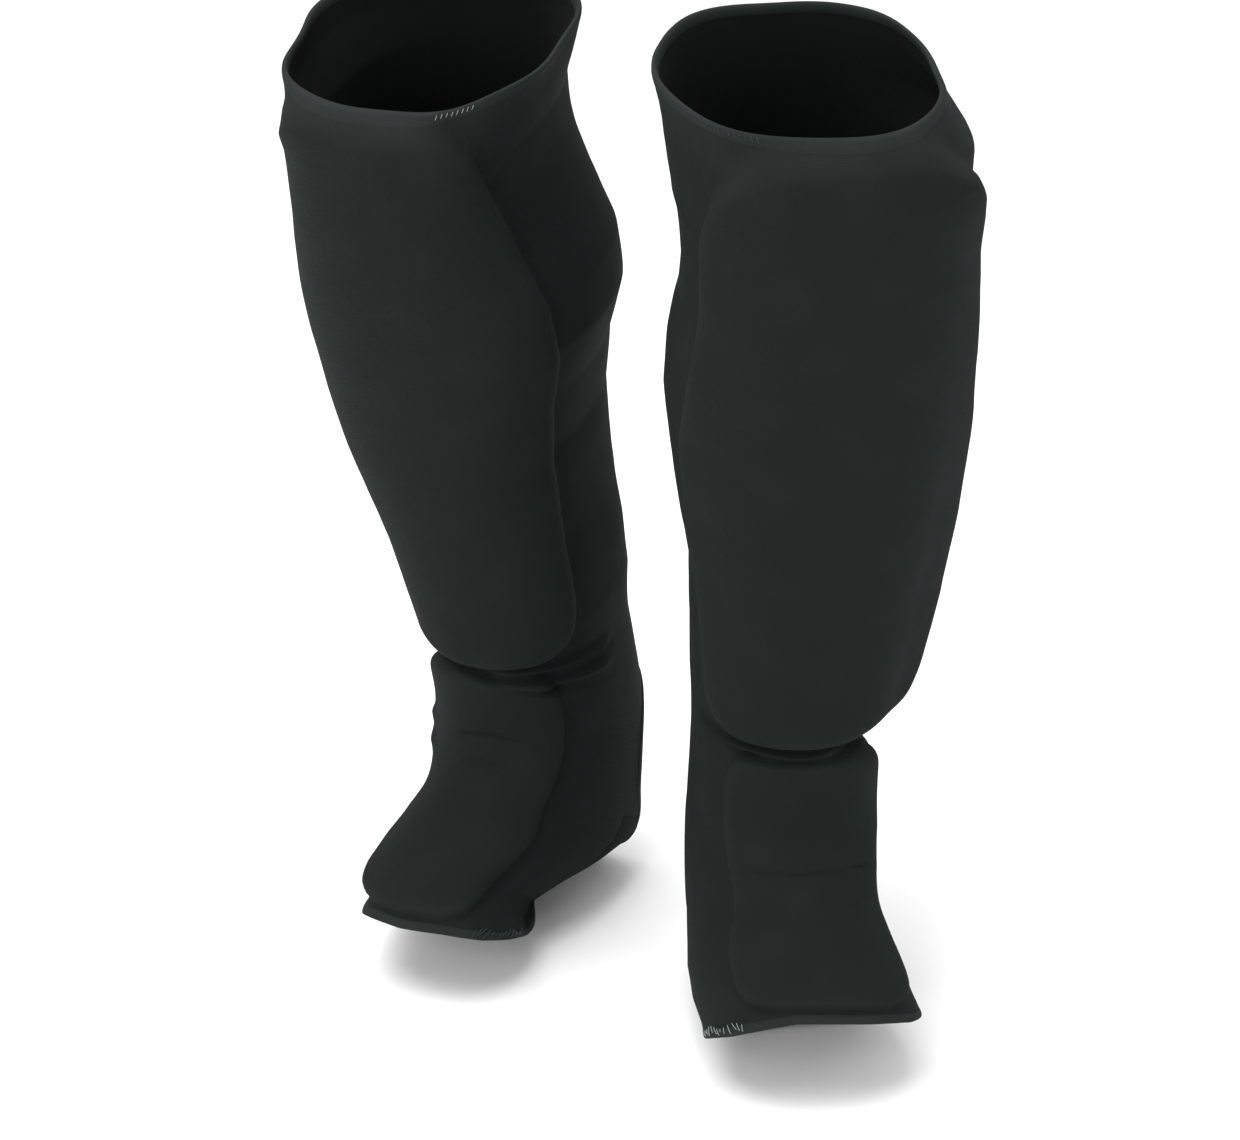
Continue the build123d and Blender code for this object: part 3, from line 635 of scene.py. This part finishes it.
def stitches(name, guard, runs, radius, rise, material_used):
    """Short threads on the guard's face, each from one (s, angle) to another, with its ends sunk in the cloth."""
    verts, faces = [], []
    arch = [(0.0, -0.5), (0.12, 0.25), (0.5, 0.75), (0.88, 0.25), (1.0, -0.5)]
    for (s0, a0), (s1, a1) in runs:
        t = np.array([k for k, _ in arch])
        s, a = s0 + (s1 - s0) * t, a0 + (a1 - a0) * t
        high = guard.cover(s, a) + rise + np.array([h for _, h in arch]) * radius
        middle, lifted = guard.place(s, a, high), guard.place(s, a, high + 1)
        normal = unit(lifted - middle)
        along = unit(np.gradient(middle, axis=0))
        left = unit(np.cross(normal, along))
        first = len(verts)
        for k in range(len(arch)):
            size = radius * (0.55 if k in (0, 4) else 1)
            for turn in np.arange(6) * math.pi / 3:
                verts.append(middle[k] + size * (math.cos(turn) * left[k] + math.sin(turn) * normal[k]))
        for k in range(len(arch) - 1):
            faces += [[first + k * 6 + j, first + k * 6 + (j + 1) % 6, first + k * 6 + 6 + (j + 1) % 6,
                       first + k * 6 + 6 + j] for j in range(6)]
        faces += [[first + j for j in range(6)], [first + (len(arch) - 1) * 6 + j for j in range(6)]]
    verts = np.array(verts)
    return make(name, verts, faces, verts[:, [0, 2]], 0.2, material_used)


def rounded(left, right, low, high, corner=0.8):
    """A rounded rectangular profile."""
    points = []
    for cx, cy, first in ((right - corner, high - corner, 0), (left + corner, high - corner, 90),
                          (left + corner, low + corner, 180), (right - corner, low + corner, 270)):
        points += [(cx + corner * math.cos(math.radians(first + a)), cy + corner * math.sin(math.radians(first + a)))
                   for a in (0, 45, 90)]
    return points


def chained(cuts):
    """The cut edges' points in order round the opening."""
    near = {}
    for a, b in cuts:
        near.setdefault(a, []).append(b)
        near.setdefault(b, []).append(a)
    start = cuts[0][0]
    loop, last = [start], None
    while True:
        onward = [v for v in near[loop[-1]] if v != last]
        if not onward or onward[0] == start:
            return loop
        last = loop[-1]
        loop.append(onward[0])


def attach(piece, guard, where, slot, *nodes):
    """Puts the piece on the leg or on the foot, or leaves a piece that spans both where it stands."""
    if where == "both":
        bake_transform(piece)
    else:
        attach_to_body(piece, guard.leg if where == "leg" else guard.foot)
    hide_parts(*[f"{guard.name}_{n}" for n in nodes])
    return piece


def everywhere(s, a):
    return True


def in_foot(s):
    return s > FOOT_PANELS_BELOW


def round_back(a):
    return np.where(np.abs(a) > 180, 360 - np.abs(a), np.abs(a))


def flat(value):
    return lambda s, a: np.full(s.shape, value)


def build_cloth(guard, heel):
    """The lining and the outer cloth. Gives the pieces it makes."""
    name, worn_and_lit = guard.name, highlight_and_wear_on_cover(guard)

    def under_cover(s, a):
        return guard.cover(s, a) - CLOTH

    lining = shell(f"{name}_inner_lining", guard, patch(everywhere, heel), flat(LINING), flat(0.0), 0.1, INSIDE)
    attach(lining, guard, "both", "lining_fabric", "shin_lining", "instep_lining")

    front = patch(lambda s, a: round_back(a) < np.where(in_foot(s), FOOT_SEAM, BACK_SEAM), heel)
    sleeve = shell(f"{name}_front_sleeve", guard, front, guard.cover, under_cover, worn_and_lit, FRONT)
    attach(sleeve, guard, "both", "front_fabric", "shin_cover", "instep_cover_upper", "instep_cover_lower",
           "ankle_gusset")

    # The calf, foot side and sole cloth use the darker jersey copy: painted shade on the sides facing away from the
    # lamps.
    calf = patch(lambda s, a: (round_back(a) > BACK_SEAM) & ~in_foot(s), heel)
    calf = shell(f"{name}_calf_cloth", guard, calf, guard.cover, under_cover, worn_and_lit, SHADED_JERSEY)
    attach(calf, guard, "both", "sleeve_fabric", "calf_panel")

    panels = []
    for label, sign in (("outer", 1), ("inner", -1)):
        side = patch(lambda s, a: in_foot(s) & (sign * a > FOOT_SEAM) & (sign * a < SOLE_SEAM), heel)
        panel = shell(f"{name}_{label}_foot_cloth", guard, side, guard.cover, under_cover, worn_and_lit, SHADED_JERSEY)
        attach(panel, guard, "both", "sleeve_fabric", f"{label}_side_panel")
        panels.append(panel)
    sole = patch(lambda s, a: in_foot(s) & (round_back(a) > SOLE_SEAM), heel)
    sole = shell(f"{name}_sole_cloth", guard, sole, guard.cover, under_cover, 0.3, SHADED_JERSEY)
    attach(sole, guard, "both", "sleeve_fabric", "sole_band")
    return lining, sleeve, calf, panels, sole


def build_pads(guard, shin, instep):
    """The foam in the two pads."""
    def foam_top(s, a):
        return guard.cover(s, a) - CLOTH - FOAM_GAP

    pads = []
    for label, inside, where, nodes in (
        ("shin", shin, "leg", ["shin_pad"]),
        ("instep", instep, "both", ["instep_pad_upper", "instep_pad_web", "instep_pad_lower"]),
    ):
        filled = patch(everywhere, inside - FOAM_INSET)
        pad = shell(f"{guard.name}_{label}_foam", guard, filled, foam_top, flat(LINING + 0.2), 0, FOAM)
        attach(pad, guard, where, "foam", *nodes)
        pads.append(pad)
    return pads


def build_hems(guard):
    """The folded hems at the rim and the toe, with a strip of elastic in each."""
    angles = np.arange(-180, 180, 3.0)
    strip_in = np.full(angles.shape, 1.35)
    strip_out = np.full(angles.shape, 0.2 + SLEEVE - CLOTH)
    for label, edge, depth, where in (("top", RIM, HEM_DEPTH, "leg"), ("toe", TOE, -TOE_HEM_DEPTH, "foot")):
        band = hem(f"{guard.name}_{label}_hem", guard, edge, depth, 0.16, HEMS)
        attach(band, guard, where, "hem_fabric", f"{label}_band")
        low, high = edge + depth * 0.2, edge + depth * 0.8
        section = [(low, strip_in), (high, strip_in), (high, strip_out), (low, strip_out)]
        strip = ring(f"{guard.name}_{label}_elastic_strip", guard, section, angles, ELASTIC)
        attach(strip, guard, where, "elastic", f"{label}_elastic")


def build_heel_binding(guard, heel):
    """The folded edge round the heel opening, along the cut in the cloth."""
    s_cut, a_cut, _, cuts = patch(everywhere, heel)
    loop = chained(cuts)
    path = np.stack([s_cut[loop], np.unwrap(a_cut[loop], period=360)], -1)
    spots = guard.place(path[:, 0], path[:, 1], 1.0)
    steps = np.linalg.norm(np.diff(np.vstack([spots, spots[:1]]), axis=0), axis=1)
    run = np.concatenate([[0], np.cumsum(steps)])
    turns = round((path[-1, 1] - path[0, 1]) / 360) * 360
    ends = np.vstack([path, path[:1] + [0, turns]])
    even = np.linspace(0, run[-1], int(run[-1] / 3), endpoint=False)
    path = np.stack([np.interp(even, run, ends[:, 0]), np.interp(even, run, ends[:, 1])], -1)
    middle = guard.place(*path.T, 0.0)
    normal = unit(guard.place(*path.T, 2.0) - middle)
    left = unit(np.cross(normal, np.roll(middle, -1, 0) - np.roll(middle, 1, 0)))
    behind = (left * [-math.sin(guard.yaw), math.cos(guard.yaw), 0]).sum(1).mean()
    sign = -1 if behind > 0 else 1
    profile = [(sign * b, n) for b, n in rounded(-0.9, 3.6, -0.7, SLEEVE + 0.5, 0.9)]
    binding = swept(f"{guard.name}_heel_edge_binding", guard, path, profile, HEMS, closed=True, wear=0.6)
    attach(binding, guard, "both", "hem_fabric", "heel_binding_upper", "heel_binding_lower")


def build_seams(guard):
    """The taped seams beside the calf cloth, from the rim down to the heel opening."""
    profile = rounded(-2.2, 2.2, SLEEVE - 0.5, SLEEVE + 0.75, 0.5)
    for label, sign in (("outer", 1), ("inner", -1)):
        down = np.arange(RIM + HEM_DEPTH - 1, 345, 3.0)
        held = down[guard.heel(down, np.full(down.shape, sign * BACK_SEAM)) > 4]
        line = [(v, sign * BACK_SEAM) for v in held]
        tape = swept(f"{guard.name}_{label}_back_seam", guard, line, profile, HEMS)
        attach(tape, guard, "both", "hem_fabric", f"{label}_seam")


def build_threads(guard):
    """Short ticks of thread at the rim and frayed stitches at the toe. One of the two is pale on each guard."""
    on_left = guard.style["side"] > 0
    ticks = [((RIM + 0.5, -41 + 2.1 * k), (RIM + 2.7, -40.4 + 2.1 * k)) for k in range(8)]
    rim = stitches(f"{guard.name}_rim_thread", guard, ticks, 0.16, 0.4, THREAD if on_left else PALE_THREAD)
    attach(rim, guard, "leg", "thread", "rim_stitches")
    frays = []
    for k in range(14):
        start = (TOE - 6.0 + 1.2 * math.sin(k), -84 + 3.2 * k)
        end = (TOE - 2.0 + math.sin(2.1 * k), -82.6 + 3.2 * k + 1.4 * math.sin(1.3 * k))
        frays.append((start, end))
    toe = stitches(f"{guard.name}_toe_thread", guard, frays, 0.22, 0.4, PALE_THREAD if on_left else THREAD)
    attach(toe, guard, "foot", "thread", "toe_stitches")


def build(guard):
    s, a = np.meshgrid(GRID_S, GRID_A, indexing="ij")
    heel = guard.heel(s, a)
    lining, sleeve, calf, panels, sole = build_cloth(guard, heel)
    pads = build_pads(guard, *guard.pads(s, a))
    build_hems(guard)
    build_heel_binding(guard, heel)
    build_seams(guard)
    build_threads(guard)


for guard_name in STYLES:
    build(Guard(guard_name))

# ---- The room ----
def area_light(name, location, target, size, power):
    light = bpy.data.lights.new(name, "AREA")
    light.shape, light.size, light.size_y, light.energy = "RECTANGLE", size[0], size[1], power
    obj = bpy.data.objects.new(name, light)
    bpy.context.scene.collection.objects.link(obj)
    obj.location = location
    obj.rotation_euler = (Vector(target) - Vector(location)).to_track_quat("-Z", "Y").to_euler()


area_light("top softbox", (-0.35, -0.25, 1.9), (0, 0, 0.2), (1.6, 1.6), 48)
area_light("front softbox", (-0.9, -1.9, 1.0), (0, 0, 0.2), (1.2, 1.2), 20)
area_light("side softbox", (1.6, -0.7, 0.9), (0, 0, 0.2), (1.0, 1.2), 5)

FLOOR_HALF = 8
FLOOR_Z = -0.0004
corners = [(-FLOOR_HALF, -FLOOR_HALF), (FLOOR_HALF, -FLOOR_HALF), (FLOOR_HALF, FLOOR_HALF), (-FLOOR_HALF, FLOOR_HALF)]
floor_mesh = bpy.data.meshes.new("floor")
floor_mesh.from_pydata([(x, y, FLOOR_Z) for x, y in corners], [], [(0, 1, 2, 3)])
floor = bpy.data.objects.new("floor", floor_mesh)
bpy.context.scene.collection.objects.link(floor)
paper = bpy.data.materials.new("paper")
paper.use_nodes = True
paper_shader = paper.node_tree.nodes["Principled BSDF"]
paper_shader.inputs["Base Color"].default_value = (0.92, 0.92, 0.92, 1)
paper_shader.inputs["Roughness"].default_value = 0.9
floor_mesh.materials.append(paper)

world = bpy.data.worlds.new("room")
world.use_nodes = True
world.node_tree.nodes["Background"].inputs["Color"].default_value = (1, 1, 1, 1)
world.node_tree.nodes["Background"].inputs["Strength"].default_value = 0.75
bpy.context.scene.world = world

CAMERA_PITCH = 24.9         # degrees below level
camera = bpy.data.cameras.new("camera")
camera.sensor_width = 36
camera.lens = 119.76
eye = bpy.data.objects.new("camera", camera)
bpy.context.scene.collection.objects.link(eye)
eye.location = (-0.0021, -1.7036, 1.0)
eye.rotation_euler = (math.radians(90 - CAMERA_PITCH), 0, 0)
bpy.context.scene.camera = eye
bpy.context.scene.view_settings.view_transform = "Standard"
